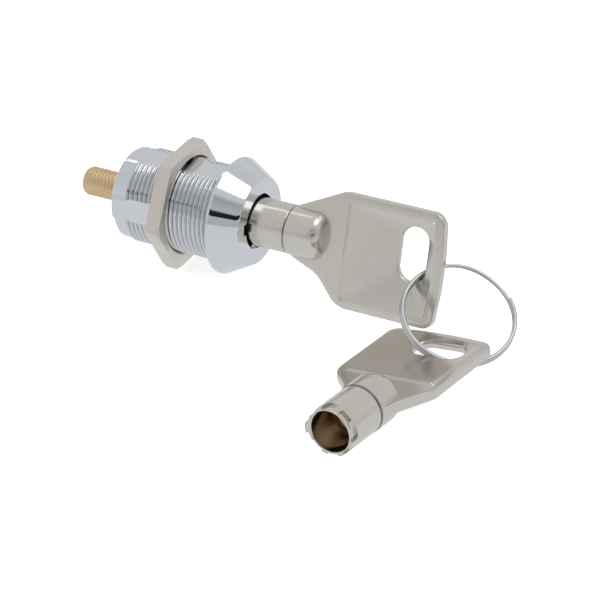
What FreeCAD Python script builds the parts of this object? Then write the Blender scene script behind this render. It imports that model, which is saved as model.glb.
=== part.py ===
import FreeCAD, Part
import math
import os

from FreeCAD import Base

Vector = Base.Vector

# Panel lock with a threaded barrel, its hex nut, two tubular keys and a split ring.
# Lock frame: origin on the lock's axis in the plane that seats on the panel, X along the axis
# towards the key. The whole lock is then tipped up about Y, because it lies on its nut with the
# inserted key propped up, and Z of the finished part is straight up.
# Key frame: X from the tip to the end of the bow, Y in the plate towards its short side.
# All lengths are millimetres and all angles are degrees.

# How the pieces lie
lock_tip_up = 3.65
key_lean = 21.3
key_tip_x = 3.5
spare_tip_x = 45.68
spare_tip_y = -47.12
spare_tip_z = -3.80
spare_heading = 6.1
spare_pitch = -6.4
spare_roll = -12.3
ring_centre_x = 50.13
ring_centre_y = -4.12
ring_centre_z = -4.13
ring_normal = Vector(0.303, -0.264, 0.916)

# Housing
rim_radius = 11.5
rim_width = 0.5
face_radius = 8.65
face_x = 5.7
face_edge = 0.25
barrel_radius = 9.4
thread_rear_x = -18.8
collar_radius = 9.0
collar_rear_x = -22.3
collar_chamfer = 0.4
stop_height = 0.7
stop_step = 0.3
stop_first = 7.0
flat_half_width = 8.8
flat_turn = -1.5
mouth_radius = 5.4
mouth_depth = 0.6
lug_groove_radius = 5.9
core_radius = 6.4
keyway_angle = 168.0
keyway_reach = 6.3
keyway_width = 2.2

# Plug: brass spindle with its drum, and the post that enters the key
fit_gap = 0.1
drum_front_x = 3.25
drum_rear_x = -4.0
shaft_radius = 3.4
stud_radius = 2.9
stud_base_x = -21.0
stud_end_x = -32.4
stud_chamfer = 0.7
relief_depth = 0.3
relief_width = 0.7
post_gap = 0.1
post_front_x = 5.3
post_chamfer = 0.4
post_shank_radius = 1.5
post_shank_rear_x = -1.5

# Pins: seven of eight places on a circle, the eighth left free for the lug
place_count = 8
pin_circle = 4.85
pin_radius = 0.5
pin_gap = 0.05
cut_depths = [1.6, 2.0, 1.3, 1.8, 1.1, 1.9, 1.4]
pin_end_round = 0.15
driver_length = 3.6
spring_wall = 0.18
spring_rear_x = -13.5

# Fixed sleeve behind the drum, its cross pin, washer and snap ring
sleeve_rear_x = -18.0
cross_pin_angle = 171.0
cross_pin_x = -16.2
cross_pin_radius = 1.0
cross_pin_inner = 4.4
cross_pin_sink = 0.5
washer_gap = 0.3
washer_thickness = 0.8
snap_height = 2.2
snap_groove_depth = 0.8
snap_thickness = 0.7
snap_opening = 70.0

# Hex nut
nut_wall = 1.55
nut_thickness = 3.0
nut_front_x = -9.7
nut_first_corner = 0.0
nut_chamfer = 0.35
nut_thread_gap = 0.05

# Key: tube and bow
tube_radius = 4.8
tube_bore_radius = 4.0
tube_length = 9.55
tube_bore_depth = 8.2
tube_bore_point = 2.4
tube_tip_chamfer = 0.15
spigot_radius = 3.3
spigot_length = 4.0
cut_width = 2.4
cut_wall = 0.3
lug_radius = 5.35
lug_width = 1.8
lug_length = 1.6
seam_groove = 0.18
boss_end_x = 17.0
boss_round = 2.4
plate_thickness = 1.9
plate_start_x = 10.0
plate_end_x = 40.8
plate_end_bulge = 1.05
short_side = 9.7
long_side = 12.75
root_short = 4.9
root_long = 5.05
shoulder_short_x = 19.8
shoulder_long_x = 20.7
neck_x = 15.9
neck_long = 7.4
short_corner = 2.8
long_corner = 2.2
end_round = 60.0
shoulder_short_round = 3.6
shoulder_long_round = 4.6
neck_round = 5.0
plate_edge_bevel = 0.25
panel_front_x = 21.0
panel_rim = 1.25
panel_depth = 0.22
panel_corner = 1.7
slot_centre_x = 35.3
slot_centre_y = 0.85
slot_width = 6.4
slot_length = 11.4

# Split ring: two flat turns of one round wire, joined by a step
ring_outer_radius = 11.1
ring_wire = 0.75
ring_turn_gap = 0.45
ring_step_start = 65.0
ring_step = 60.0
ring_end_gap = 12.0


def along_x(radius, x_from, x_to, y=0.0, z=0.0):
    """A cylinder parallel to X between two stations."""
    low = min(x_from, x_to)
    return Part.makeCylinder(radius, abs(x_to - x_from), Vector(low, y, z), Vector(1, 0, 0))


def turned(profile):
    """A solid of revolution about X from (x, radius) corners, closed along the axis or itself."""
    points = [Vector(x, radius, 0) for x, radius in profile]
    face = Part.Face(Part.makePolygon(points + [points[0]]))
    return face.revolve(Vector(0, 0, 0), Vector(1, 0, 0), 360)


def on_circle(radius, angle):
    """Y and Z of a point round the lock's axis, counted from +Y towards +Z."""
    a = math.radians(angle)
    return radius * math.cos(a), radius * math.sin(a)


def about_x(shape, angle):
    """A copy turned round the X axis."""
    copy = shape.copy()
    copy.rotate(Vector(0, 0, 0), Vector(1, 0, 0), angle)
    return copy


def rounded_outline(corners):
    """A closed wire in the XY plane: straight runs joined by tangent arcs, from (x, y, radius)."""
    count = len(corners)
    edges = []
    ends = []
    for i in range(count):
        before = Vector(*corners[i - 1][:2], 0)
        here = Vector(*corners[i][:2], 0)
        after = Vector(*corners[(i + 1) % count][:2], 0)
        radius = corners[i][2]
        back = (before - here).normalize()
        ahead = (after - here).normalize()
        turn = math.pi - back.getAngle(ahead)
        trim = radius * math.tan(turn / 2)
        first = here + back * trim
        last = here + ahead * trim
        if radius > 0:
            bisector = (back + ahead).normalize()
            centre = here + bisector * (radius / math.cos(turn / 2))
            middle = centre - bisector * radius
            edges.append(Part.Arc(first, middle, last).toShape())
        ends.append((first, last))
    for i in range(count):
        edges.append(Part.makeLine(ends[i][1], ends[(i + 1) % count][0]))
    return Part.Wire(Part.__sortEdges__(edges))


# Angles of the pin places, counted from the lug, which lies in the plate on its long side
place_step = 360.0 / place_count
lug_angle = 180.0
pin_angles = [lug_angle + place_step * (i + 1) for i in range(place_count - 1)]

# The plug sits at the key's turn: the plate's short side points up and leans away
plug_turn_at_rest = 90.0 - key_lean

# Sizes that follow from the ones above
stop_radius = collar_radius - stop_step
washer_rear_x = sleeve_rear_x - pin_gap - washer_thickness
groove_radius = shaft_radius - snap_groove_depth
ring_radius = ring_outer_radius - ring_wire / 2


def housing():
    """The turned and flatted body, whose rear rim stands up over half a turn to stop the cam."""
    outer = [
        (collar_rear_x, 0), (collar_rear_x, stop_radius - collar_chamfer),
        (collar_rear_x + collar_chamfer, stop_radius), (collar_rear_x + stop_height, stop_radius),
        (collar_rear_x + stop_height, collar_radius), (thread_rear_x, collar_radius),
        (thread_rear_x, barrel_radius), (0, barrel_radius), (0, rim_radius),
        (rim_width, rim_radius), (face_x - face_edge, face_radius + face_edge / 2),
        (face_x, face_radius - face_edge), (face_x, 0),
    ]
    body = turned(outer)
    for side in (1, -1):
        reach = barrel_radius + 1
        cutter = Part.makeBox(-collar_rear_x + 1, 2 * reach, reach,
                              Vector(collar_rear_x - 1, -reach, flat_half_width))
        if side < 0:
            cutter = about_x(cutter, 180)
        body = body.cut(about_x(cutter, flat_turn))
    core = along_x(core_radius, collar_rear_x - 1, drum_front_x + pin_gap)
    groove = along_x(lug_groove_radius, drum_front_x, face_x - mouth_depth)
    mouth = along_x(mouth_radius, drum_front_x, face_x + 1)
    keyway = Part.makeBox(mouth_depth + 2, keyway_reach, keyway_width,
                          Vector(face_x - mouth_depth - 1, 0, -keyway_width / 2))
    body = body.cut(core).cut(groove).cut(mouth).cut(about_x(keyway, keyway_angle))
    below_stop = Part.makeBox(stop_height + 1, 2 * rim_radius, rim_radius,
                              Vector(collar_rear_x - 1, -rim_radius, 0))
    body = body.cut(about_x(below_stop, stop_first + 180))
    return body.cut(cross_pin_hole(cross_pin_radius + pin_gap))


def cross_pin_hole(radius):
    """The radial hole through the housing wall into the sleeve."""
    y, z = on_circle(1, cross_pin_angle)
    start = Vector(cross_pin_x, y * (cross_pin_inner - pin_gap), z * (cross_pin_inner - pin_gap))
    return Part.makeCylinder(radius, barrel_radius - cross_pin_inner + 1, start, Vector(0, y, z))


def cross_pin():
    y, z = on_circle(1, cross_pin_angle)
    start = Vector(cross_pin_x, y * cross_pin_inner, z * cross_pin_inner)
    length = barrel_radius - cross_pin_sink - cross_pin_inner
    return Part.makeCylinder(cross_pin_radius, length, start, Vector(0, y, z))


def pin_holes(x_from, x_to):
    """The seven holes of the pins between two stations, turned to suit the key's lean."""
    holes = []
    for angle in pin_angles:
        y, z = on_circle(pin_circle, angle)
        holes.append(along_x(pin_radius + pin_gap, x_from, x_to, y, z))
    return about_x(Part.makeCompound(holes), plug_turn_at_rest)


def spindle():
    snap_front = washer_rear_x - pin_gap
    snap_rear = snap_front - snap_thickness - 2 * pin_gap
    relief_front = stud_base_x + relief_width
    profile = [
        (stud_end_x, 0), (stud_end_x, stud_radius - stud_chamfer),
        (stud_end_x + stud_chamfer, stud_radius), (stud_base_x, stud_radius),
        (stud_base_x, stud_radius - relief_depth), (relief_front, stud_radius - relief_depth),
        (relief_front, shaft_radius), (snap_rear, shaft_radius), (snap_rear, groove_radius),
        (snap_front + pin_gap, groove_radius), (snap_front + pin_gap, shaft_radius),
        (drum_rear_x, shaft_radius), (drum_rear_x, core_radius - fit_gap),
        (drum_front_x, core_radius - fit_gap), (drum_front_x, 0),
    ]
    body = turned(profile)
    body = body.cut(pin_holes(drum_rear_x - 1, drum_front_x + 1))
    return body.cut(along_x(post_shank_radius + pin_gap, post_shank_rear_x - pin_gap, drum_front_x + 1))


def guide_post():
    radius = tube_bore_radius - post_gap
    profile = [
        (post_shank_rear_x, 0), (post_shank_rear_x, post_shank_radius),
        (drum_front_x, post_shank_radius), (drum_front_x, radius),
        (post_front_x - post_chamfer, radius), (post_front_x, radius - post_chamfer),
        (post_front_x, 0),
    ]
    return turned(profile)


def sleeve():
    front = drum_rear_x - pin_gap
    body = along_x(core_radius - fit_gap, sleeve_rear_x, front)
    body = body.cut(along_x(shaft_radius + fit_gap, sleeve_rear_x - 1, front + 1))
    body = body.cut(pin_holes(spring_rear_x, front + 1))
    return body.cut(cross_pin_hole(cross_pin_radius + pin_gap))


def key_pin(index):
    """One pin of the plug: its nose stands in the key's cut and its heel at the drum's rear."""
    nose = key_tip_x + cut_depths[index] - pin_gap
    profile = [
        (drum_rear_x, 0), (drum_rear_x, pin_radius), (nose - pin_end_round, pin_radius),
        (nose, pin_radius - pin_end_round), (nose, 0),
    ]
    pin = turned(profile)
    y, z = on_circle(pin_circle, pin_angles[index])
    pin.translate(Vector(0, y, z))
    return about_x(pin, plug_turn_at_rest)


def driver_pin(index):
    """The pin behind the shear line, pushed forward by its spring."""
    y, z = on_circle(pin_circle, pin_angles[index])
    front = drum_rear_x - pin_gap
    return about_x(along_x(pin_radius, front - driver_length, front, y, z), plug_turn_at_rest)


def pin_spring(index):
    """The spring's outside as a plain sleeve, from its driver to the bottom of the hole."""
    y, z = on_circle(pin_circle, pin_angles[index])
    front = drum_rear_x - pin_gap - driver_length
    outer = along_x(pin_radius, spring_rear_x, front, y, z)
    inner = along_x(pin_radius - spring_wall, spring_rear_x - 1, front + 1, y, z)
    return about_x(outer.cut(inner), plug_turn_at_rest)


def washer():
    disc = along_x(core_radius - washer_gap, washer_rear_x, sleeve_rear_x - pin_gap)
    return disc.cut(along_x(shaft_radius + fit_gap, washer_rear_x - 1, sleeve_rear_x + 1))


def snap_ring():
    """The open ring in the spindle's groove."""
    front = washer_rear_x - pin_gap
    outer = groove_radius + snap_height
    ring = along_x(outer, front - snap_thickness, front)
    ring = ring.cut(along_x(groove_radius + pin_gap, front - snap_thickness - 1, front + 1))
    reach = 2 * outer
    half = math.radians(snap_opening / 2)
    wedge = Part.makePolygon([
        Vector(front + 1, 0, 0), Vector(front + 1, reach * math.cos(half), reach * math.sin(half)),
        Vector(front + 1, reach * math.cos(half), -reach * math.sin(half)), Vector(front + 1, 0, 0),
    ])
    return ring.cut(Part.Face(wedge).extrude(Vector(-snap_thickness - 2, 0, 0)))


def hex_nut():
    corner = (barrel_radius + nut_thread_gap + nut_wall) / math.cos(math.radians(30))
    rear = nut_front_x - nut_thickness
    points = []
    for i in range(6):
        y, z = on_circle(corner, nut_first_corner + 60 * i)
        points.append(Vector(rear, y, z))
    prism = Part.Face(Part.makePolygon(points + [points[0]])).extrude(Vector(nut_thickness, 0, 0))
    low = corner - nut_chamfer * 2
    envelope = turned([(rear, 0), (rear, low), (rear + nut_chamfer, corner + 0.01),
                       (nut_front_x - nut_chamfer, corner + 0.01), (nut_front_x, low), (nut_front_x, 0)])
    return prism.common(envelope).cut(along_x(barrel_radius + nut_thread_gap, rear - 1, nut_front_x + 1))


def key_tube():
    """The tube with its stepped tip: seven cuts and one lug."""
    profile = [
        (tube_tip_chamfer, tube_radius), (tube_length - seam_groove, tube_radius),
        (tube_length, tube_radius - seam_groove), (tube_length, spigot_radius),
        (tube_length + spigot_length, spigot_radius), (tube_length + spigot_length, 0),
        (tube_bore_depth + tube_bore_point, 0), (tube_bore_depth, tube_bore_radius), (0, tube_bore_radius),
        (0, tube_radius - tube_tip_chamfer),
    ]
    body = turned(profile)
    for angle, depth in zip(pin_angles, cut_depths):
        inner = tube_bore_radius + cut_wall
        notch = Part.makeBox(depth + 1, lug_radius, cut_width, Vector(-1, inner, -cut_width / 2))
        body = body.cut(about_x(notch, angle))
    lug = Part.makeBox(lug_length, lug_radius, lug_width, Vector(0, 0, -lug_width / 2))
    shell = along_x(lug_radius, 0, lug_length).cut(along_x(tube_radius - cut_wall, -1, lug_length + 1))
    return body.fuse(about_x(lug, lug_angle).common(shell)).removeSplitter()


def key_bow():
    """The plate with its boss, raised rim, sunk panels and slot."""
    half = plate_thickness / 2
    middle = (short_side - long_side) / 2
    outline = rounded_outline([
        (plate_start_x, root_short, 0),
        (shoulder_short_x, short_side, shoulder_short_round),
        (plate_end_x, short_side, short_corner),
        (plate_end_x + plate_end_bulge, middle, end_round),
        (plate_end_x, -long_side, long_corner),
        (shoulder_long_x, -long_side, shoulder_long_round),
        (neck_x, -neck_long, neck_round),
        (plate_start_x, -root_long, 0),
    ])
    plate = Part.Face(outline).extrude(Vector(0, 0, plate_thickness))
    plate.translate(Vector(0, 0, -half))
    rim_edges = [e for e in plate.Edges if abs(abs(e.BoundBox.ZMin) - half) < 1e-6
                 and e.BoundBox.ZLength < 1e-6 and e.BoundBox.XMax > plate_start_x + 0.5]
    plate = plate.makeChamfer(plate_edge_bevel, rim_edges)
    panel = rounded_outline([
        (panel_front_x, short_side - panel_rim, panel_corner / 2),
        (plate_end_x - panel_rim, short_side - panel_rim, panel_corner),
        (plate_end_x - panel_rim + plate_end_bulge, middle, end_round),
        (plate_end_x - panel_rim, -long_side + panel_rim, panel_corner),
        (panel_front_x, -long_side + panel_rim, panel_corner / 2),
    ])
    sink = Part.Face(panel).extrude(Vector(0, 0, panel_depth + 1))
    top = sink.copy()
    top.translate(Vector(0, 0, half - panel_depth))
    bottom = sink.copy()
    bottom.translate(Vector(0, 0, -half - 1))
    plate = plate.cut(top).cut(bottom)
    straight = slot_length / 2 - slot_width / 2
    ends = [Part.makeCylinder(slot_width / 2, plate_thickness + 2,
                              Vector(slot_centre_x, slot_centre_y + s * straight, -half - 1))
            for s in (-1, 1)]
    waist = Part.makeBox(slot_width, 2 * straight, plate_thickness + 2,
                          Vector(slot_centre_x - slot_width / 2, slot_centre_y - straight, -half - 1))
    plate = plate.cut(ends[0].fuse(waist).fuse(ends[1]))
    seam = tube_length + pin_gap
    boss = turned([(seam, 0), (seam, tube_radius - seam_groove), (seam + seam_groove, tube_radius),
                   (boss_end_x, tube_radius), (boss_end_x, 0)])
    crown = [e for e in boss.Edges if abs(e.BoundBox.XMin - boss_end_x) < 1e-6
             and e.BoundBox.YLength > tube_radius]
    boss = boss.makeFillet(boss_round, crown)
    bow = boss.fuse(plate).removeSplitter()
    return bow.cut(along_x(spigot_radius + pin_gap, seam - 1, tube_length + spigot_length + pin_gap))


def arc_on(start, direction, end):
    """The arc that leaves a point in a direction and ends at another point."""
    chord = end - start
    across = (chord - direction * chord.dot(direction)).normalize()
    radius = chord.dot(chord) / (2 * chord.dot(across))
    centre = start + across * radius
    out = ((start - centre) + (end - centre)).normalize()
    return Part.Arc(start, centre + out * radius, end)


def biarc(start, direction, end, end_direction):
    """Two arcs that meet tangentially and join two points with set directions."""
    chord = end - start
    both = direction + end_direction
    a = 2 * (1 - direction.dot(end_direction))
    b = 2 * chord.dot(both)
    c = -chord.dot(chord)
    reach = -c / b if abs(a) < 1e-9 else (-b + math.sqrt(b * b - 4 * a * c)) / (2 * a)
    joint = (start + direction * reach + end - end_direction * reach) * 0.5
    middle = (joint - start - direction * reach).normalize()
    return [arc_on(start, direction, joint), arc_on(joint, middle, end)]


def split_ring():
    """One pipe on arcs: a flat turn, the step up to the other turn, and that turn."""
    lift = (ring_wire + ring_turn_gap) / 2
    step_end = ring_step_start + ring_step

    def point(angle, height):
        a = math.radians(angle)
        return Vector(ring_radius * math.cos(a), ring_radius * math.sin(a), height)

    def direction(angle):
        a = math.radians(angle)
        return Vector(-math.sin(a), math.cos(a), 0)

    halves = 2
    sweep = (360 - ring_step - ring_end_gap) / halves
    arcs = []
    for i in range(halves):
        a = ring_step_start - (halves - i) * sweep
        arcs.append(Part.Arc(point(a, -lift), point(a + sweep / 2, -lift), point(a + sweep, -lift)))
    arcs += biarc(point(ring_step_start, -lift), direction(ring_step_start),
                  point(step_end, lift), direction(step_end))
    for i in range(halves):
        a = step_end + i * sweep
        arcs.append(Part.Arc(point(a, lift), point(a + sweep / 2, lift), point(a + sweep, lift)))
    path = Part.Wire([arc.toShape() for arc in arcs])
    section = Part.Wire(Part.makeCircle(ring_wire / 2, path.Edges[0].valueAt(path.Edges[0].FirstParameter),
                                        direction(ring_step_start - halves * sweep)))
    print("split ring: least gap to itself %.2f mm" % least_gap(path))
    return path.makePipeShell([section], True, False)


def least_gap(path):
    """The least gap between stretches of the wire that lie over half a turn apart along it."""
    samples = 720
    points = path.discretize(Number=samples)
    apart = int(samples * math.pi * ring_radius / path.Length)
    least = path.Length
    for i in range(samples - apart):
        for q in points[i + apart:]:
            least = min(least, (points[i] - q).Length)
    return least - ring_wire


# Placements
def lock_placement():
    return FreeCAD.Placement(Vector(0, 0, 0), FreeCAD.Rotation(Vector(0, 1, 0), -lock_tip_up))


def inserted_key_placement():
    """Key frame into the lock frame, tip at its seat and plate leaning, then tipped with the lock."""
    lean = FreeCAD.Rotation(Vector(1, 0, 0), plug_turn_at_rest)
    return lock_placement().multiply(FreeCAD.Placement(Vector(key_tip_x, 0, 0), lean))


def spare_key_placement():
    """The loose key lies on its tube and bow, heading away from the viewer and rolled a little."""
    heading = FreeCAD.Rotation(Vector(0, 0, 1), 90 - spare_heading)
    pitch = FreeCAD.Rotation(Vector(0, 1, 0), -spare_pitch)
    roll = FreeCAD.Rotation(Vector(1, 0, 0), 180 + spare_roll)
    tip = Vector(spare_tip_x, spare_tip_y, spare_tip_z)
    return FreeCAD.Placement(tip, heading.multiply(pitch).multiply(roll))


def ring_placement():
    centre = Vector(ring_centre_x, ring_centre_y, ring_centre_z)
    return FreeCAD.Placement(centre, FreeCAD.Rotation(Vector(0, 0, 1), ring_normal))


def placed(shape, placement):
    copy = shape.copy()
    copy.Placement = placement.multiply(copy.Placement)
    return copy


def export(name, shape, placement):
    solid = placed(shape, placement)
    if not solid.isValid():
        print("not valid:", name)
    solid.exportStep("parts/%s.step" % name)
    box = solid.BoundBox
    print("%-14s solids %d volume %8.1f z %6.2f to %6.2f" % (
        name, len(solid.Solids), solid.Volume, box.ZMin, box.ZMax))


def main():
    os.makedirs("parts", exist_ok=True)
    lock = lock_placement()
    export("housing", housing(), lock)
    export("spindle", spindle(), lock)
    export("guide_post", guide_post(), lock)
    export("sleeve", sleeve(), lock)
    for index in range(place_count - 1):
        export("key_pin_%d" % (index + 1), key_pin(index), lock)
        export("driver_pin_%d" % (index + 1), driver_pin(index), lock)
        export("pin_spring_%d" % (index + 1), pin_spring(index), lock)
    export("cross_pin", cross_pin(), lock)
    export("thrust_washer", washer(), lock)
    export("snap_ring", snap_ring(), lock)
    export("hex_nut", hex_nut(), lock)
    tube = key_tube()
    bow = key_bow()
    for name, placement in (("key", inserted_key_placement()), ("spare_key", spare_key_placement())):
        export(name + "_tube", tube, placement)
        export(name + "_bow", bow, placement)
    export("split_ring", split_ring(), ring_placement())


main()
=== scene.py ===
import math

import bmesh
import bpy
from mathutils import Matrix, Vector


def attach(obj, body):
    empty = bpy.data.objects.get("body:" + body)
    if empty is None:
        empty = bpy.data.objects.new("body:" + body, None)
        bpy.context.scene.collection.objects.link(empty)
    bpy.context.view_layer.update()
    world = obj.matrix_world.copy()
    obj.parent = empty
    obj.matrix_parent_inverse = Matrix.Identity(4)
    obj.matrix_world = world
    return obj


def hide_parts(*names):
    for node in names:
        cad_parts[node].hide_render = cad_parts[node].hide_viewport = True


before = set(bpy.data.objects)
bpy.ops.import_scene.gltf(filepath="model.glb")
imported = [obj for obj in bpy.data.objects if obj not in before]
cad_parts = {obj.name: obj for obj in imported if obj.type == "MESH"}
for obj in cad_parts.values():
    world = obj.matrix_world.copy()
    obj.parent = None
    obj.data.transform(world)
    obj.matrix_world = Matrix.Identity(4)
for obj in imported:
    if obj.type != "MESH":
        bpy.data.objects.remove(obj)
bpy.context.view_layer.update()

# Panel lock with a tubular key in its mouth and a spare key on a split ring.
# Shapes are written in millimetres in each piece's own frame: X runs along the lock or the key,
# and the ring lies flat. A matrix then puts them in the shared frame, in metres, so every
# object stays at the origin.

mm = 0.001
mergeGap = 1e-4  # vertices closer than this are one
cutGap = 1e-5  # a vertex closer than this to a cutting plane lies on it
near = 0.01  # reach of a test on where a vertex lies
hair = 0.02  # a step too small to see, which keeps two walls apart


# Where each local frame goes: degrees and millimetres, as the shared frame has them

pose = {
    "lockTipUp": 3.65,
    "keyLean": 21.3,
    "keyTip": 3.5,
    "spareTip": (45.68, -47.12, -3.80),
    "spareHeading": 6.1,
    "sparePitch": 6.4,
    "spareRoll": -12.3,
    "ringCentre": (50.13, -4.12, -4.13),
    "ringNormal": (0.303, -0.264, 0.916),
}


def lockMatrix():
    return Matrix.Rotation(math.radians(-pose["lockTipUp"]), 4, "Y")


def keyMatrix():
    lean = Matrix.Rotation(math.radians(90 - pose["keyLean"]), 4, "X")
    return lockMatrix() @ Matrix.Translation((pose["keyTip"], 0, 0)) @ lean


def spareMatrix():
    turn = Matrix.Rotation(math.radians(90 - pose["spareHeading"]), 4, "Z")
    turn = turn @ Matrix.Rotation(math.radians(pose["sparePitch"]), 4, "Y")
    turn = turn @ Matrix.Rotation(math.radians(180 + pose["spareRoll"]), 4, "X")
    return Matrix.Translation(pose["spareTip"]) @ turn


def ringMatrix():
    normal = Vector(pose["ringNormal"]).normalized()
    turn = Vector((0, 0, 1)).rotation_difference(normal).to_matrix().to_4x4()
    return Matrix.Translation(pose["ringCentre"]) @ turn


# Shared mesh steps

def finishMesh(name, bm, matrix, materials, body, node, sharp):
    bmesh.ops.remove_doubles(bm, verts=bm.verts, dist=mergeGap)
    bmesh.ops.recalc_face_normals(bm, faces=bm.faces)
    bm.transform(Matrix.Scale(mm, 4) @ matrix)
    mesh = bpy.data.meshes.new(name)
    bm.to_mesh(mesh)
    bm.free()
    mesh.polygons.foreach_set("use_smooth", [True] * len(mesh.polygons))
    mesh.set_sharp_from_angle(angle=math.radians(sharp))
    for material in materials:
        mesh.materials.append(material)
    obj = bpy.data.objects.new(name, mesh)
    bpy.context.scene.collection.objects.link(obj)
    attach(obj, body)
    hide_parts(node)


def everything(bm):
    return bm.verts[:] + bm.edges[:] + bm.faces[:]


def onlyVerts(geom):
    return [part for part in geom if isinstance(part, bmesh.types.BMVert)]


def addMesh(bm, other):
    part = bpy.data.meshes.new("part")
    other.to_mesh(part)
    other.free()
    bm.from_mesh(part)
    bpy.data.meshes.remove(part)


def drawProfile(bm, points, close=False):
    # points are (x, radius)
    verts = [bm.verts.new((x, radius, 0)) for x, radius in points]
    ends = verts[1:] + verts[:1] if close else verts[1:]
    return [bm.edges.new(pair) for pair in zip(verts, ends)]


def stepped(x, radius, steps):
    # the points of a polished-over edge, as steps from its sharp corner
    return [(x + along, radius + out) for along, out in steps]


def divide(bm, edge, cuts):
    bmesh.ops.subdivide_edges(bm, edges=[edge], cuts=cuts)


def spinAboutX(bm, steps):
    bmesh.ops.spin(bm, geom=bm.verts[:] + bm.edges[:], cent=(0, 0, 0), axis=(1, 0, 0),
                   angle=2 * math.pi, steps=steps, use_merge=True)
    bmesh.ops.remove_doubles(bm, verts=bm.verts, dist=mergeGap)


def bevel(bm, geom, offset, segments, affect):
    bmesh.ops.bevel(bm, geom=geom, offset=offset, offset_type="OFFSET", segments=segments,
                    profile=0.5, affect=affect, material=-1, clamp_overlap=False)


def direction(angle):
    # across the X axis, at this many degrees from Y towards Z
    a = math.radians(angle)
    return Vector((0, math.cos(a), math.sin(a)))


def cutAcross(bm, normal, distance):
    bmesh.ops.bisect_plane(bm, geom=everything(bm), dist=cutGap, plane_co=normal * distance,
                           plane_no=normal)


def radiusOf(co):
    return math.hypot(*co.yz)


def setRadius(vert, radius):
    scale = radius / radiusOf(vert.co)
    vert.co.y *= scale
    vert.co.z *= scale


def turnFrom(co, centre):
    # degrees round X from centre, between -180 and 180
    d = (math.degrees(math.atan2(co.z, co.y)) - centre) % 360
    return d - 360 if d > 180 else d


def ramp(value, low, high):
    return min(1.0, max(0.0, (value - low) / (high - low)))


def smooth(value, low, high):
    t = ramp(value, low, high)
    return t * t * (3 - 2 * t)


def threadRidge(co, pitch, crestFrom=0.95):
    # 1 on the crest of a thread with one start, 0 at its root
    phase = (co.x / pitch - math.atan2(co.z, co.y) / (2 * math.pi)) % 1.0
    return smooth(1 - abs(2 * phase - 1), 0.0, crestFrom)


# Housing: turned, then threaded, milled flat on two sides, with a smooth pad and a keyway.
# X is 0 at the flange's rear face. What lies further out than the bore by "wall" is outside.

housing = {
    "rim": 11.5,
    "rimWidth": 0.5,
    "rimRearEdge": ((0, -0.07), (0.07, 0)),
    "rimFrontEdge": ((-0.05, 0), (0.03, -0.05)),
    "face": 8.65,
    "faceX": 5.7,
    "faceEdge": ((-0.14, 0.06), (-0.05, -0.02), (0, -0.12)),
    "crest": 9.4,
    "crestChamfer": 0.2,
    "threadDepth": 0.32,
    "pitch": 1.0,
    "threadRear": -19.4,
    "threadMargin": 0.03,
    "threadCuts": 232,
    "runOut": 0.5,
    "collar": 9.0,
    "collarChamfer": 0.1,
    "stopFront": -21.8,
    "stop": 8.7,
    "stopChamfer": 0.3,
    "rear": -22.6,
    "stopEnds": (187.0, 7.0),  # degrees; the rear rim stands up between them
    "stopSlope": 0.3,  # degrees over which the rim comes down
    "stopMargin": 0.1,  # degrees
    "stopGap": 0.001,
    "flatHalf": 8.8,
    "flatAngle": 88.5,
    "padAngle": 169.5,
    "padHalf": 2.25,
    "padHeight": 9.13,
    "padRear": -20.2,
    "padFront": -11.0,
    "padMargin": 0.001,
    "bore": 6.4,
    "wall": 1.0,
    "mouth": 5.4,
    "mouthEdge": 0.1,
    "mouthDepth": 0.6,
    "grooveRear": 3.3,
    "keyway": 168.0,
    "keywayReach": 6.3,
    "keywayHalf": 1.1,
    "keywayWall": 0.04,
    "endCuts": 8,
    "steps": 256,
}


def turnHousing(bm):
    h = housing
    back = h["faceX"] - h["mouthDepth"]
    edges = drawProfile(bm, [
        (h["rear"], h["bore"]), (h["rear"], h["stop"] - h["stopChamfer"]),
        (h["rear"] + h["stopChamfer"], h["stop"]), (h["stopFront"], h["stop"]),
        (h["stopFront"], h["collar"] - h["collarChamfer"]),
        (h["stopFront"] + h["collarChamfer"], h["collar"]), (h["threadRear"], h["collar"]),
        (h["threadRear"] + hair, h["collar"]), (-hair, h["crest"]),
        (0, h["crest"] - h["crestChamfer"]), *stepped(0, h["rim"], h["rimRearEdge"]),
        *stepped(h["rimWidth"], h["rim"], h["rimFrontEdge"]),
        *stepped(h["faceX"], h["face"], h["faceEdge"]),
        (h["faceX"], h["mouth"] + h["mouthEdge"]), (h["faceX"] - h["mouthEdge"], h["mouth"]),
        (back, h["mouth"]), (back - hair, h["bore"]), (h["grooveRear"], h["bore"])], close=True)
    land, thread, cone = edges[6], edges[7], edges[13]  # in the order of the profile
    divide(bm, thread, h["threadCuts"])
    for edge in (land, cone):
        divide(bm, edge, h["endCuts"])
    spinAboutX(bm, h["steps"])


def cutThread(bm):
    h = housing
    groove = bm.verts.layers.float.new("groove")
    root = h["crest"] - h["threadDepth"]
    for vert in bm.verts:
        along = h["threadRear"] + h["threadMargin"] < vert.co.x < -h["threadMargin"]
        if along and radiusOf(vert.co) > h["bore"] + h["wall"]:
            fade = smooth(vert.co.x, h["threadRear"], h["threadRear"] + h["runOut"])
            base = h["collar"] + (root - h["collar"]) * fade
            ridge = threadRidge(vert.co, h["pitch"])
            setRadius(vert, base + (h["crest"] - base) * ridge * fade)
            # painted shade: the thread is darkened towards its roots, fading out with the run-out
            vert[groove] = (1 - ridge) * fade


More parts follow.
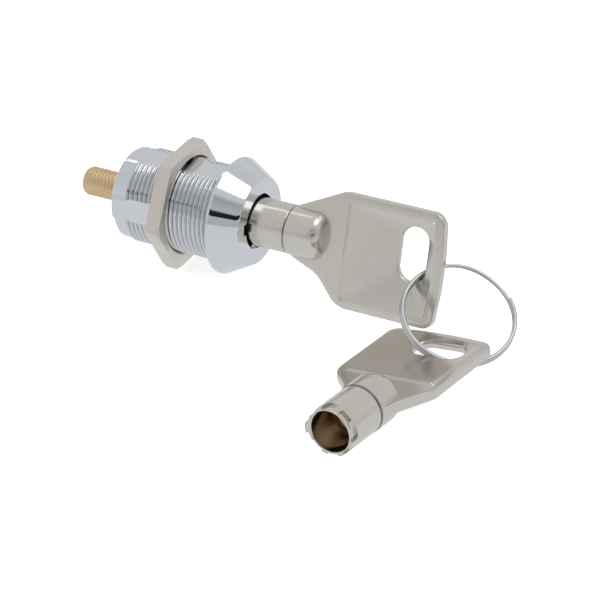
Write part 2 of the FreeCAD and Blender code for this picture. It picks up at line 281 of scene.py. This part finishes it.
def raisePad(bm):
    # a smooth strip behind the nut, with a round rear end
    h = housing
    out = direction(h["padAngle"])
    across = direction(h["padAngle"] + 90)
    groove = bm.verts.layers.float["groove"]
    for side in (-1, 1):
        cutAcross(bm, across, side * h["padHalf"])
    for vert in bm.verts:
        t = abs(vert.co.dot(across))
        reach = ramp(vert.co.x, h["padRear"], h["padRear"] + h["padHalf"])
        half = h["padHalf"] * math.sqrt(1 - (1 - reach) ** 2)
        level = vert.co.dot(out)
        along = h["padRear"] < vert.co.x < h["padFront"]
        if along and t <= half + h["padMargin"] and level > h["bore"] + h["wall"]:
            vert.co += out * (h["padHeight"] - level)
            vert[groove] = 0


def millFlats(bm):
    h = housing
    groove = bm.verts.layers.float["groove"]
    for side in (-1, 1):
        out = direction(h["flatAngle"]) * side
        cutAcross(bm, out, h["flatHalf"])
        for vert in bm.verts:
            over = vert.co.dot(out) - h["flatHalf"]
            if vert.co.x < -near and over > -mergeGap:
                vert.co -= out * over
                vert[groove] = 0


def cutKeyway(bm):
    h = housing
    out = direction(h["keyway"])
    across = direction(h["keyway"] + 90)
    back = h["faceX"] - h["mouthDepth"]
    for side in (-1, 1):
        for half in (h["keywayHalf"], h["keywayHalf"] + h["keywayWall"]):
            cutAcross(bm, across, side * half)
    for vert in bm.verts:
        level = vert.co.dot(out)
        beside = abs(vert.co.dot(across)) < h["keywayHalf"] + near
        if beside and 0 < level < h["keywayReach"] and vert.co.x > back - near:
            vert.co += out * (h["keywayReach"] - level)


def cutStop(bm):
    # the rear rim comes down to its shoulder over the other half turn
    h = housing
    for end in h["stopEnds"]:
        for shift in (0.0, h["stopSlope"]):
            cutAcross(bm, direction(end + 90 + shift), 0.0)
    middle = sum(h["stopEnds"]) / 2
    half = abs(h["stopEnds"][0] - h["stopEnds"][1]) / 2 + h["stopMargin"]
    for vert in bm.verts:
        if vert.co.x < h["stopFront"] - near and abs(turnFrom(vert.co, middle)) > half:
            vert.co.x = h["stopFront"] - h["stopGap"]


def makeHousing(material):
    bm = bmesh.new()
    turnHousing(bm)
    cutThread(bm)
    raisePad(bm)
    millFlats(bm)
    cutKeyway(bm)
    cutStop(bm)
    finishMesh("housing_plated", bm, lockMatrix(), [material], "housing", "housing",
               18)


# Nut: a turned blank with its corners chamfered, then milled on six sides

nut = {
    "flats": 22.4,
    "thickness": 3.0,
    "front": -9.5,
    "firstCorner": -2.0,  # degrees
    "bore": 9.45,
    "boreChamfer": 0.45,
    "boreShadeReach": 0.05,
    "cornerChamfer": 0.35,
    "cornerDrop": 0.7,
    "chamferCuts": 6,
    "steps": 360,
}


def makeNut(material):
    n = nut
    rear = n["front"] - n["thickness"]
    corner = n["flats"] / 2 / math.cos(math.pi / 6)
    low = corner - n["cornerDrop"]
    bm = bmesh.new()
    edges = drawProfile(bm, [
        (rear, n["bore"] + n["boreChamfer"]), (rear, low), (rear + n["cornerChamfer"], corner),
        (n["front"] - n["cornerChamfer"], corner), (n["front"], low),
        (n["front"], n["bore"] + n["boreChamfer"]), (n["front"] - n["boreChamfer"], n["bore"]),
        (rear + n["boreChamfer"], n["bore"])], close=True)
    for chamfer in (edges[1], edges[3]):
        divide(bm, chamfer, n["chamferCuts"])
    spinAboutX(bm, n["steps"])
    for side in range(6):
        out = direction(n["firstCorner"] + 30 + 60 * side)
        cutAcross(bm, out, n["flats"] / 2)
        for vert in bm.verts:
            over = vert.co.dot(out) - n["flats"] / 2
            if over > 0:
                vert.co -= out * over
    # painted shade: the nut's bore is darkened all round
    groove = bm.verts.layers.float.new("groove")
    for vert in bm.verts:
        vert[groove] = float(radiusOf(vert.co) < n["bore"] + n["boreShadeReach"])
    finishMesh("hex_nut_plated", bm, lockMatrix(), [material], "nut", "hex_nut", 14)


# Spindle: the CAD piece up to the barrel's rear, then its threaded stud

stud = {
    "crest": 2.9,
    "threadDepth": 0.12,
    "threadStart": 0.8,
    "threadCuts": 130,
    "pitch": 0.77,
    "rear": -33.05,
    "front": -21.6,
    "tip": ((1.0, 2.9), (0.45, 2.6525), (0.1, 2.4), (0.0, 2.15)),  # share of its length, radius
    "tipLength": 0.85,
    "plainEnd": 3.4,
    "steps": 120,
}


def cutSpindle():
    # the CAD mesh is in metres and in loose triangles, so they are merged first
    bm = bmesh.new()
    bm.from_mesh(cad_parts["spindle"].data)
    bmesh.ops.remove_doubles(bm, verts=bm.verts, dist=mergeGap * mm)
    bm.transform(lockMatrix().inverted() @ Matrix.Scale(1 / mm, 4))
    bmesh.ops.bisect_plane(bm, geom=everything(bm), plane_co=(stud["front"], 0, 0),
                           plane_no=(-1, 0, 0), clear_outer=True)
    return bm


def makeSpindle(materials):
    s = stud
    bm = bmesh.new()
    edges = drawProfile(bm, [
        (s["front"], s["crest"]),
        *[(s["rear"] + s["tipLength"] * share, radius) for share, radius in s["tip"]],
        (s["rear"], 0)])
    divide(bm, edges[0], s["threadCuts"])
    spinAboutX(bm, s["steps"])
    for vert in bm.verts:
        if vert.co.x < s["front"] - near and radiusOf(vert.co) > s["crest"] - near:
            grow = smooth(s["front"] - vert.co.x, 0, s["threadStart"])
            fade = smooth(vert.co.x, s["rear"] + s["tipLength"], s["rear"] + s["plainEnd"])
            cut = s["threadDepth"] * (1 - threadRidge(vert.co, s["pitch"])) * grow * fade
            setRadius(vert, s["crest"] - cut)
    addMesh(bm, cutSpindle())
    # painted shade: the CAD piece inside the lock gets the nearly black brass
    for face in bm.faces:
        face.material_index = int(face.calc_center_median().x > s["front"] + near)
    finishMesh("spindle_threaded", bm, lockMatrix(), materials, "plug", "spindle",
               25)


# Keys: the tube, with seven cuts and a lug in eight even places round its tip.
# X is 0 at the tip.

tube = {
    "outer": 4.8,
    "outerEdge": 0.12,
    "bore": 4.0,
    "boreEdge": 0.15,
    "boreStart": 0.2,
    "wallEnd": 8.2,
    "boreEnd": 10.6,
    "seam": 9.55,
    "seamEdge": ((-0.48, 0), (-0.18, -0.02), (-0.04, -0.08), (0, -0.18)),
    "plainStart": 4.0,
    "spigot": 3.3,
    "spigotEnd": 13.55,
    "cutDepths": (1.6, 2.0, 1.3, 1.8, 1.1, 1.9, 1.4),
    "cutHalf": 1.2,
    "cutFloor": 4.3,
    "cutWall": 0.03,
    "lug": 5.35,
    "lugHalf": 0.9,
    "lugLength": 1.6,
    "lugAngle": 180,
    "placeAngle": 45,
    "tipWall": 0.25,  # what lies further out than the bore by this is in the tip's wall
    "steps": 180,
}


def cutTip(bm, angle, half, length, radius):
    t = tube
    out = direction(angle)
    across = direction(angle + 90)
    for side in (-1, 1):
        for grow in (0.0, t["cutWall"]):
            cutAcross(bm, across, side * (half + grow))
    for vert in bm.verts:
        beside = vert.co.x < length and abs(vert.co.dot(across)) < half + near
        if beside and vert.co.dot(out) > t["bore"] + t["tipWall"]:
            setRadius(vert, radius)


def makeTube(name, node, matrix, materials, body):
    t = tube
    ends = sorted(set(t["cutDepths"]) | {t["lugLength"]})
    stations = [x + side * hair for x in ends for side in (-1, 1)]
    bm = bmesh.new()
    drawProfile(bm, [
        (t["boreEnd"], 0.0), (t["wallEnd"], t["bore"]), (t["boreEdge"], t["bore"]),
        (0.0, t["bore"] + t["boreEdge"]), (0.0, t["outer"] - t["outerEdge"]),
        (t["outerEdge"], t["outer"]), *[(x, t["outer"]) for x in stations],
        (t["plainStart"], t["outer"]), *stepped(t["seam"], t["outer"], t["seamEdge"]),
        (t["seam"], t["spigot"]), (t["spigotEnd"], t["spigot"]), (t["spigotEnd"], 0.0)])
    spinAboutX(bm, t["steps"])
    for i, depth in enumerate(t["cutDepths"]):
        angle = t["lugAngle"] + t["placeAngle"] * (i + 1)
        cutTip(bm, angle, t["cutHalf"], depth, t["cutFloor"])
    cutTip(bm, t["lugAngle"], t["lugHalf"], t["lugLength"], t["lug"])
    # painted shade: the faces in the bore get the dark bore material
    for face in bm.faces:
        centre = face.calc_center_median()
        inShadedBore = radiusOf(centre) < t["bore"] + hair and t["boreStart"] < centre.x < t["boreEnd"]
        face.material_index = int(inShadedBore)
    finishMesh(name, bm, matrix, materials, body, node, 14)


# Keys: the bow, a cast plate with a border, and the boss that holds the tube

bow = {
    # the plate's corners in the key's frame, each with the radius that rounds it
    "corners": (
        (10.0, 4.9, 0.0), (19.8, 9.7, 3.6), (40.8, 9.7, 2.8), (41.85, -1.525, 60.0),
        (40.8, -12.75, 2.2), (20.7, -12.75, 4.6), (15.9, -7.4, 5.0), (10.0, -5.05, 0.0)),
    "cornerSteps": 14,
    "half": 0.95,
    "edge": 0.32,
    "edgeSteps": 4,
    "border": 1.25,
    "panelFront": 21.0,
    "panelCorner": 0.9,
    "panelCornerSteps": 5,
    "panelMerge": 0.09,
    "flatFrom": 0.99,  # a face whose normal is this upright lies flat
    # two fine steps run round the panel, with a land between them
    "firstStep": 0.15,
    "firstRise": 0.12,
    "land": 0.3,
    "secondStep": 0.14,
    "panelRise": 0.26,
    "slotX": 35.3,
    "slotY": 0.85,
    "slotRadius": 2.78,
    "slotStraight": 2.5,
    "slotSteps": 64,
    "slotEdge": 0.42,
    "slotEdgeSteps": 3,
    "bossEnd": 17.0,
    "bossRound": 2.4,
    "bossRoundSteps": 12,
    "bossOver": 0.1,
    "bossGap": 0.05,
    "bossEdge": ((0, -0.18), (0.05, -0.08), (0.16, -0.02), (0.45, 0)),
    "bossSteps": 120,
    "seamReach": 0.25,
    "seamDepth": 0.3,
    "panelShadeReach": 1.2,
}


def cornerTrim(before, here, after, radius):
    turn = math.pi - (before - here).angle(after - here)
    return radius * math.tan(turn / 2)


def roundCorners(bm, verts, radii, segments):
    places = [vert.co.copy() for vert in verts]
    count = len(verts)
    for i, radius in enumerate(radii):
        if radius:
            trim = cornerTrim(places[i - 1], places[i], places[(i + 1) % count], radius)
            bevel(bm, [verts[i]], trim, segments, "VERTICES")


def flatEdges(bm, height):
    return [e for e in bm.edges if all(abs(v.co.z - height) < mergeGap for v in e.verts)]


def makePlate(bm):
    # half of the plate's thickness, without its middle plane; the other half is its mirror
    b = bow
    verts = [bm.verts.new((x, y, 0)) for x, y, radius in b["corners"]]
    bm.faces.new(verts)
    roundCorners(bm, verts, [radius for x, y, radius in b["corners"]], b["cornerSteps"])
    base = bm.faces[:]
    raised = bmesh.ops.extrude_face_region(bm, geom=base)
    bmesh.ops.translate(bm, verts=onlyVerts(raised["geom"]), vec=(0, 0, b["half"]))
    bmesh.ops.delete(bm, geom=base, context="FACES_ONLY")
    bevel(bm, flatEdges(bm, b["half"]), b["edge"], b["edgeSteps"], "EDGES")
    return max(bm.faces, key=lambda face: face.calc_area())


def raisePanel(bm, top):
    b = bow
    bmesh.ops.inset_region(bm, faces=[top], thickness=b["border"] - b["edge"],
                           use_even_offset=True)
    cut = bmesh.ops.bisect_plane(bm, geom=[top] + top.edges[:] + top.verts[:],
                                 plane_co=(b["panelFront"], 0, 0), plane_no=(1, 0, 0))
    for vert in onlyVerts(cut["geom_cut"]):
        bevel(bm, [vert], b["panelCorner"], b["panelCornerSteps"], "VERTICES")
    flat = [face for face in bm.faces if abs(face.normal.z) > b["flatFrom"]]
    panel = max((face for face in flat if face.calc_center_median().x > b["panelFront"]),
                key=lambda face: face.calc_area())
    bmesh.ops.remove_doubles(bm, verts=panel.verts[:], dist=b["panelMerge"])
    steps = ((b["firstStep"], b["firstRise"]), (b["land"], 0.0),
             (b["secondStep"], b["panelRise"] - b["firstRise"]))
    for width, rise in steps:
        # the plate's top still points down here, so a negative depth lifts it
        bmesh.ops.inset_region(bm, faces=[panel], thickness=width, depth=-rise,
                               use_even_offset=True)
    return panel


def makeSlot(bm, level):
    b = bow
    centre = Matrix.Translation((b["slotX"], b["slotY"], level))
    rim = bmesh.ops.create_circle(bm, segments=b["slotSteps"], radius=b["slotRadius"],
                                  matrix=centre)
    for vert in rim["verts"]:
        vert.co.y += math.copysign(b["slotStraight"], vert.co.y - b["slotY"])
    return [e for e in bm.edges if all(v in rim["verts"] for v in e.verts)]


def makeBoss():
    b = bow
    t = tube
    start = t["seam"] + b["bossGap"]
    inner = t["spigot"] + b["bossGap"]
    outer = t["outer"] + b["bossOver"]
    end = t["spigotEnd"] + b["bossGap"]
    profile = [(end, 0.0), (end, inner), (start, inner), *stepped(start, outer, b["bossEdge"])]
    for i in range(b["bossRoundSteps"] + 1):
        a = math.pi / 2 * i / b["bossRoundSteps"]
        profile.append((b["bossEnd"] - b["bossRound"] * (1 - math.sin(a)),
                        outer - b["bossRound"] * (1 - math.cos(a))))
    bm = bmesh.new()
    drawProfile(bm, profile + [(b["bossEnd"], 0.0)])
    spinAboutX(bm, b["bossSteps"])
    return bm


def markPaintedShade(bm):
    # painted shade: the plate is darkened where it lies at either of the two levels below its
    # border, from just before the panel's front on, which takes in the slot's rim; the boss is
    # darkened at its front edge, in the seam with the tube
    b = bow
    groove = bm.verts.layers.float.new("groove")
    levels = (b["half"] - b["firstRise"], b["half"] - b["panelRise"])
    for vert in bm.verts:
        atLevel = any(abs(abs(vert.co.z) - level) < near for level in levels)
        inPanelShade = atLevel and vert.co.x > b["panelFront"] - b["panelShadeReach"]
        beforeBoss = vert.co.x < tube["seam"] + b["seamReach"]
        inSeamShade = beforeBoss and radiusOf(vert.co) > tube["spigot"] + b["seamDepth"]
        vert[groove] = float(inPanelShade or inSeamShade)


def makeBow(name, node, matrix, material, body):
    # the panel falls from its raised edge to the slot, whose rim is as far below the border
    b = bow
    slotLevel = b["half"] - b["panelRise"]
    bm = bmesh.new()
    panel = raisePanel(bm, makePlate(bm))
    outline = panel.edges[:]
    bmesh.ops.delete(bm, geom=[panel], context="FACES_ONLY")
    rim = makeSlot(bm, slotLevel)
    bmesh.ops.triangle_fill(bm, use_beauty=True, edges=outline + rim)
    wall = bmesh.ops.extrude_edge_only(bm, edges=rim)
    bmesh.ops.translate(bm, verts=onlyVerts(wall["geom"]), vec=(0, 0, -slotLevel))
    bevel(bm, rim, b["slotEdge"], b["slotEdgeSteps"], "EDGES")
    bmesh.ops.mirror(bm, geom=everything(bm), merge_dist=mergeGap, axis="Z")
    addMesh(bm, makeBoss())
    markPaintedShade(bm)
    finishMesh(name, bm, matrix, [material], body, node, 12)


# Split ring: two turns of wire, joined by the step

ring = {
    "outer": 11.1,
    "wire": 0.86,
    "touch": 0.87,
    "splay": 0.2,
    "splayAngle": 205.0,
    "stepStart": 65.0,
    "step": 60.0,
    "endGap": 12.0,
    "sides": 20,
    "steps": 424,
}


def ringLift(angle):
    # height of the wire's middle: one turn below the ring's plane, the step, one turn above
    r = ring
    away = math.radians(angle - r["splayAngle"])
    lift = (r["touch"] + r["splay"] * max(0.0, math.cos(away)) ** 2) / 2
    return lift * (2 * smooth(angle, r["stepStart"], r["stepStart"] + r["step"]) - 1)


def makeRing(material):
    r = ring
    turn = 360 - r["step"] - r["endGap"]
    start = r["stepStart"] - turn
    sweep = 2 * turn + r["step"]
    place = Matrix.Rotation(math.radians(start), 4, "Z")
    place = place @ Matrix.Translation((r["outer"] - r["wire"] / 2, 0, 0))
    place = place @ Matrix.Rotation(math.pi / 2, 4, "X")
    bm = bmesh.new()
    bmesh.ops.create_circle(bm, segments=r["sides"], radius=r["wire"] / 2, matrix=place)
    bmesh.ops.spin(bm, geom=bm.verts[:] + bm.edges[:], cent=(0, 0, 0), axis=(0, 0, 1),
                   angle=math.radians(sweep), steps=r["steps"])
    bm.verts.index_update()
    for vert in bm.verts:
        # the spin adds one circle of vertices after another
        circle = vert.index // r["sides"]
        vert.co.z += ringLift(start + sweep * circle / r["steps"])
    bmesh.ops.holes_fill(bm, edges=[e for e in bm.edges if e.is_boundary])
    finishMesh("split_ring_wire", bm, ringMatrix(), [material], "ring", "split_ring",
               50)


# Materials

plating = {
    "broad": 0.12,  # scale of the broad noise against the fine one
    "broadDetail": 3.0,
    "fineDetail": 5.0,
    "noiseRange": (0.3, 0.7),
    "bumpStrength": 0.4,
}
mixLow, mixHigh, mixResult = 6, 7, 2  # a colour Mix node's sockets


def linearHex(code):
    parts = [int(code[i:i + 2], 16) / 255 for i in (1, 3, 5)]
    parts = [c / 12.92 if c <= 0.04045 else ((c + 0.055) / 1.055) ** 2.4 for c in parts]
    return (*parts, 1.0)


def addNode(tree, kind, links=(), **values):
    node = tree.nodes.new(kind)
    for name, value in values.items():
        if hasattr(node, name):
            setattr(node, name, value)
        else:
            node.inputs[name.replace("_", " ")].default_value = value
    for source, target in links:
        tree.links.new(source, node.inputs[target])
    return node


def blend(tree, amount, low, high):
    # low and high are each a colour or a node's output
    mix = addNode(tree, "ShaderNodeMix", [(amount, 0)], data_type="RGBA")
    for colour, target in ((low, mixLow), (high, mixHigh)):
        if isinstance(colour, bpy.types.NodeSocket):
            tree.links.new(colour, mix.inputs[target])
        else:
            mix.inputs[target].default_value = colour
    return mix.outputs[mixResult]


def plated(name, colour, tint, roughness, spread, grain, height, shadeLeft=0.4):
    # grain is the size of the surface's fine unevenness in millimetres, height its depth,
    # and the last number how much of the colour is left where shade is painted
    p = plating
    material = bpy.data.materials.new(name)
    material.use_nodes = True
    tree = material.node_tree
    shader = tree.nodes["Principled BSDF"]
    shader.inputs["Metallic"].default_value = 1.0
    place = addNode(tree, "ShaderNodeTexCoord").outputs["Object"]
    broad = addNode(tree, "ShaderNodeTexNoise", [(place, "Vector")],
                    Scale=p["broad"] / (grain * mm), Detail=p["broadDetail"])
    fine = addNode(tree, "ShaderNodeTexNoise", [(place, "Vector")],
                   Scale=1 / (grain * mm), Detail=p["fineDetail"])
    unshaded = blend(tree, broad.outputs["Fac"], linearHex(colour), linearHex(tint))
    # painted shade: a piece's own attribute says where the colour is darkened
    groove = addNode(tree, "ShaderNodeAttribute", attribute_name="groove")
    shadeColour = (*[c * shadeLeft for c in linearHex(tint)[:3]], 1)
    tree.links.new(blend(tree, groove.outputs["Fac"], unshaded, shadeColour), shader.inputs["Base Color"])
    rough = addNode(tree, "ShaderNodeMapRange", [(broad.outputs["Fac"], "Value")],
                    From_Min=p["noiseRange"][0], From_Max=p["noiseRange"][1],
                    To_Min=roughness - spread, To_Max=roughness + spread)
    tree.links.new(rough.outputs[0], shader.inputs["Roughness"])
    bump = addNode(tree, "ShaderNodeBump", [(fine.outputs["Fac"], "Height")],
                   Strength=p["bumpStrength"], Distance=height * mm)
    tree.links.new(bump.outputs["Normal"], shader.inputs["Normal"])
    return material


def makeMaterials():
    return {
        # Bright chrome on a polished casting: mirror-like, bluish, almost without grain,
        # with painted shade in the thread's roots
        "chrome": plated("bright_chrome_plate", "#e6e8ec", "#dcdfe3", 0.045, 0.015, 1.6, 0.002,
                         shadeLeft=0.68),
        # Zinc plate on a turned nut: warm grey, dull, so it shows broad tones and no images
        "zinc": plated("warm_zinc_plate", "#ece6dd", "#ddd6cc", 0.42, 0.05, 0.8, 0.008),
        # Turned brass: pale gold, softly dull on the thread
        "brass": plated("turned_brass", "#e8cfa6", "#dcbb8a", 0.36, 0.05, 0.7, 0.01),
        # Satin nickel plate on the keys: warm grey with soft long highlights
        "nickel": plated("satin_nickel_plate", "#e0dbd3", "#d6d1c8", 0.2, 0.03, 1.2, 0.002),
        # Drawn spring wire with a bright plate: nearly neutral grey, with thin sharp highlights
        "wire": plated("bright_wire_plate", "#d2d3d3", "#c4c5c5", 0.14, 0.03, 0.9, 0.003),
        # Nickel inside the tube, painted dark brown as shade, so the bore looks deep
        "bore": plated("painted_shade_nickel_bore", "#c2b49f", "#aa9b84", 0.18, 0.05, 0.9, 0.004),
        # Brass inside the lock, painted nearly black as shade, so the gap round the key stays
        # dark
        "paintedDark": plated("painted_shade_brass", "#2a241c", "#1f1b16", 0.5, 0.05, 0.8, 0.005),
        # Plain turned steel inside the lock
        "steel": plated("turned_steel", "#b4b4b4", "#a6a6a6", 0.3, 0.05, 0.7, 0.006),
    }


def dressNodes(materials):
    for name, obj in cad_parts.items():
        # painted shade: the sleeve, key pins and thrust piece inside the lock get the nearly
        # black brass
        kind = "paintedDark" if name.startswith(("sleeve", "key_pin", "thrust")) else "steel"
        obj.data.materials.clear()
        obj.data.materials.append(materials[kind])


# Studio: a white room seen by the camera, and one with panels seen in the polished metal

studio = {
    "floorHeight": -12.2,
    "floorCentre": (15, -10),
    "floorSize": 900.0,
    "floorRoughness": 0.9,
    "floorGlow": 0.55,
    "floorInMetal": (0.72, 0.735, 0.755),
    # name, place and size in metres, power in watts
    "lights": (
        ("top_panel", (0.05, 0.1, 0.5), (0.5, 0.35), 1.6),
        ("left_panel", (-0.45, -0.25, 0.25), (0.3, 0.3), 0.8),
        ("front_panel", (0.35, -0.5, 0.2), (0.25, 0.25), 0.4)),
    "lightAim": (0.015, -0.01, 0),
    # a reach is the cosine at which a wall, band or panel starts, and the one at which it is full
    "frontWay": (0.5, -0.866, 0.0),
    "frontReach": (0.45, 0.62),
    # heights of the walls' tones, as the sine of the elevation, and their levels
    "frontTones": (
        (0.0, 0.72), (0.112, 0.72), (0.125, 0.50), (0.50, 0.52), (0.64, 0.50), (0.82, 0.37),
        (0.93, 0.6)),
    "backTones": ((0.0, 0.60), (0.30, 0.70), (0.55, 0.66), (0.77, 0.64), (0.95, 0.70)),
    "tint": (0.99, 0.998, 1.015),
    # the band's lower and upper edge, as heights too
    "band": (0.375, 0.53),
    "bandLevel": 0.015,
    "bandWay": (0.60, -0.80, 0.0),
    "bandReach": (0.83, 0.865),
    "bandRagged": 0.05,
    "bandNoise": {"Scale": 16.0, "Detail": 5.0, "Roughness": 0.75},
    "noiseRange": (0.3, 0.7),
    # direction, cosine at which the panel starts, brightness
    "panels": (((0.352, 0.160, 0.922), 0.950, 1.7), ((-0.475, 0.344, 0.811), 0.9955, 1.5)),
    "panelEdge": 0.004,
}


def makeLight(name, place, size, power):
    data = bpy.data.lights.new(name, "AREA")
    data.shape = "RECTANGLE"
    data.size = size[0]
    data.size_y = size[1]
    data.energy = power
    obj = bpy.data.objects.new(name, data)
    away = Vector(place) - Vector(studio["lightAim"])
    aim = away.to_track_quat("Z", "Y").to_matrix().to_4x4()
    obj.matrix_world = Matrix.Translation(place) @ aim
    # the panels in the room stand for these in the metal
    obj.visible_glossy = False
    bpy.context.scene.collection.objects.link(obj)


def floorMaterial():
    # matt white to the camera, with its own grey in the metal
    s = studio
    material = bpy.data.materials.new("pale_floor")
    material.use_nodes = True
    tree = material.node_tree
    shader = tree.nodes["Principled BSDF"]
    shader.inputs["Base Color"].default_value = linearHex("#ffffff")
    shader.inputs["Roughness"].default_value = s["floorRoughness"]
    shader.inputs["Emission Color"].default_value = linearHex("#ffffff")
    shader.inputs["Emission Strength"].default_value = s["floorGlow"]
    inMetal = addNode(tree, "ShaderNodeEmission", Color=(*s["floorInMetal"], 1))
    ray = addNode(tree, "ShaderNodeLightPath")
    both = addNode(tree, "ShaderNodeMixShader", [
        (ray.outputs["Is Glossy Ray"], 0), (shader.outputs[0], 1), (inMetal.outputs[0], 2)])
    tree.links.new(both.outputs[0], tree.nodes["Material Output"].inputs[0])
    return material


def makeFloor():
    s = studio
    bm = bmesh.new()
    bmesh.ops.create_grid(bm, x_segments=1, y_segments=1, size=s["floorSize"] / 2)
    place = Matrix.Translation((*s["floorCentre"], s["floorHeight"]))
    bm.transform(Matrix.Scale(mm, 4) @ place)
    mesh = bpy.data.meshes.new("floor")
    bm.to_mesh(mesh)
    bm.free()
    mesh.materials.append(floorMaterial())
    obj = bpy.data.objects.new("floor", mesh)
    bpy.context.scene.collection.objects.link(obj)


def towards(tree, way, aim, start, full):
    # 1 where the room is seen towards aim, 0 away from it
    dot = addNode(tree, "ShaderNodeVectorMath", [(way, 0)], operation="DOT_PRODUCT")
    dot.inputs[1].default_value = aim
    return addNode(tree, "ShaderNodeMapRange", [(dot.outputs["Value"], "Value")],
                   interpolation_type="SMOOTHSTEP", From_Min=start, From_Max=full).outputs[0]


def tones(tree, height, stops):
    colours = addNode(tree, "ShaderNodeValToRGB", [(height, "Fac")])
    elements = colours.color_ramp.elements
    while len(elements) < len(stops):
        elements.new(0.5)
    for element, (at, level) in zip(elements, stops):
        element.position = at
        element.color = (*[level * part for part in studio["tint"]], 1)
    return colours.outputs["Color"]


def calculate(tree, operation, first, second):
    # second is a number or a node's output
    node = addNode(tree, "ShaderNodeMath", [(first, 0)], operation=operation)
    if isinstance(second, bpy.types.NodeSocket):
        tree.links.new(second, node.inputs[1])
    else:
        node.inputs[1].default_value = second
    return node.outputs[0]


def darkBand(tree, way, height):
    # one dark band on the front wall, straight below and ragged above
    s = studio
    noise = addNode(tree, "ShaderNodeTexNoise", [(way, "Vector")], **s["bandNoise"])
    shift = addNode(tree, "ShaderNodeMapRange", [(noise.outputs["Fac"], "Value")],
                    From_Min=s["noiseRange"][0], From_Max=s["noiseRange"][1],
                    To_Min=-s["bandRagged"], To_Max=s["bandRagged"])
    over = calculate(tree, "GREATER_THAN", height, s["band"][0])
    ragged = calculate(tree, "ADD", height, shift.outputs[0])
    under = calculate(tree, "LESS_THAN", ragged, s["band"][1])
    reach = towards(tree, way, s["bandWay"], *s["bandReach"])
    return calculate(tree, "MULTIPLY", calculate(tree, "MULTIPLY", over, under), reach)


def makeWorld():
    s = studio
    world = bpy.data.worlds.new("studio")
    bpy.context.scene.world = world
    world.use_nodes = True
    tree = world.node_tree
    tree.nodes.clear()
    way = addNode(tree, "ShaderNodeTexCoord").outputs["Generated"]
    height = addNode(tree, "ShaderNodeSeparateXYZ", [(way, "Vector")]).outputs["Z"]
    inFront = towards(tree, way, s["frontWay"], *s["frontReach"])
    room = blend(tree, inFront, tones(tree, height, s["backTones"]),
                 tones(tree, height, s["frontTones"]))
    room = blend(tree, darkBand(tree, way, height), room, (*[s["bandLevel"]] * 3, 1))
    for aim, start, level in s["panels"]:
        onPanel = towards(tree, way, aim, start, start + s["panelEdge"])
        room = blend(tree, onPanel, room, (*[level] * 3, 1))
    inRoom = addNode(tree, "ShaderNodeBackground", [(room, "Color")], Strength=1.0)
    white = addNode(tree, "ShaderNodeBackground", Color=(1, 1, 1, 1), Strength=1.0)
    ray = addNode(tree, "ShaderNodeLightPath")
    both = addNode(tree, "ShaderNodeMixShader", [
        (ray.outputs["Is Camera Ray"], 0), (inRoom.outputs[0], 1), (white.outputs[0], 2)])
    addNode(tree, "ShaderNodeOutputWorld", [(both.outputs[0], "Surface")])


# Camera: degrees, and millimetres from the lock's origin, with the photograph's framing

camera = {
    "azimuth": 28.29,
    "elevation": 35.455,
    "right": -12.256,
    "up": 16.293,
    "distance": 577.985,
    "frameShift": (0.499, 0, 0.032),
    "lens": 180.0,
    "sensor": 36.0,
    "clip": (0.01, 20),  # metres
}


def viewAxes():
    a = math.radians(camera["azimuth"])
    e = math.radians(camera["elevation"])
    right = Vector((math.cos(a), math.sin(a), 0))
    up = Vector((-math.sin(e) * math.sin(a), math.sin(e) * math.cos(a), math.cos(e)))
    return right, up, right.cross(up)


def makeCamera():
    right, up, back = viewAxes()
    place = right * -camera["right"] - up * camera["up"] + back * camera["distance"]
    place = (place + Vector(camera["frameShift"])) * mm
    data = bpy.data.cameras.new("camera")
    data.lens = camera["lens"]
    data.sensor_width = camera["sensor"]
    data.clip_start, data.clip_end = camera["clip"]
    obj = bpy.data.objects.new("camera", data)
    turn = Matrix((right, up, back)).transposed().to_4x4()
    obj.matrix_world = Matrix.Translation(place) @ turn
    bpy.context.scene.collection.objects.link(obj)
    bpy.context.scene.camera = obj


def makeStudio():
    bpy.context.scene.view_settings.view_transform = "Standard"
    makeWorld()
    makeCamera()
    makeFloor()
    for light in studio["lights"]:
        makeLight(*light)


def main():
    materials = makeMaterials()
    dressNodes(materials)
    print("materials", len(materials))
    makeHousing(materials["chrome"])
    makeNut(materials["zinc"])
    makeSpindle([materials["brass"], materials["paintedDark"]])
    print("lock made")
    for name, matrix in (("key", keyMatrix()), ("spare_key", spareMatrix())):
        makeTube(name + "_tube_nickel", name + "_tube", matrix,
                 [materials["nickel"], materials["bore"]], name)
        makeBow(name + "_bow_nickel", name + "_bow", matrix, materials["nickel"], name)
    print("keys made")
    makeRing(materials["wire"])
    print("ring made")
    makeStudio()
    print("studio made")


main()
